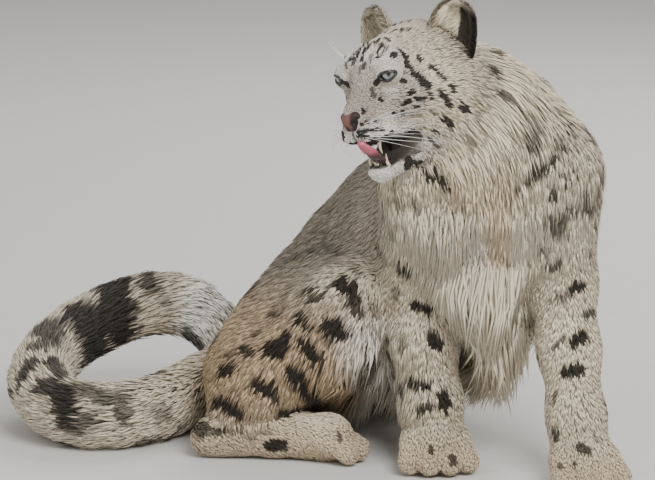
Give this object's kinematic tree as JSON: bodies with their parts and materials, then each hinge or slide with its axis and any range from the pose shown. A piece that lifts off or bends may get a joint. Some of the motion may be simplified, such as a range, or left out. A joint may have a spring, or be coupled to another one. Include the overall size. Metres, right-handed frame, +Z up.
{
  "type": "snow leopard",
  "caption": "Life-size still model of a sitting snow leopard, head turned to its right, mouth open, tail curled round at its side.",
  "frame": {"origin": "middle of the footprint at floor level", "axes": "+Z up; the chest faces -Y and the animal's left side is towards +X, so the rump and the curled tail lie towards -X"},
  "size_m": [0.8376, 0.5788, 0.6367],
  "materials": {
    "grey_coat": "long soft fur",
    "buff_coat": "short soft fur",
    "white_coat": "long soft fur",
    "nose_leather": "moist bare skin",
    "tongue_flesh": "wet, rough",
    "eye": "wet gloss"
  },
  "bodies": {
    "root": {"torso": "grey_coat", "neck": "grey_coat", "head": "grey_coat", "ear_left": "grey_coat", "ear_right": "grey_coat", "foreleg_left": "grey_coat", "foreleg_right": "grey_coat", "forepaw_left": "buff_coat", "forepaw_right": "buff_coat", "thigh_left": "buff_coat", "thigh_right": "buff_coat", "hindfoot_left": "buff_coat", "hindfoot_right": "buff_coat", "hindpaw_left": "buff_coat", "hindpaw_right": "buff_coat", "tail_1": "buff_coat", "tail_2": "buff_coat", "tail_3": "buff_coat", "tail_4": "buff_coat", "tail_5": "white_coat", "lower_jaw": "white_coat", "nose": "nose_leather", "tongue": "tongue_flesh", "eye_left": "eye", "eye_right": "eye"}
  },
  "joints": []
}
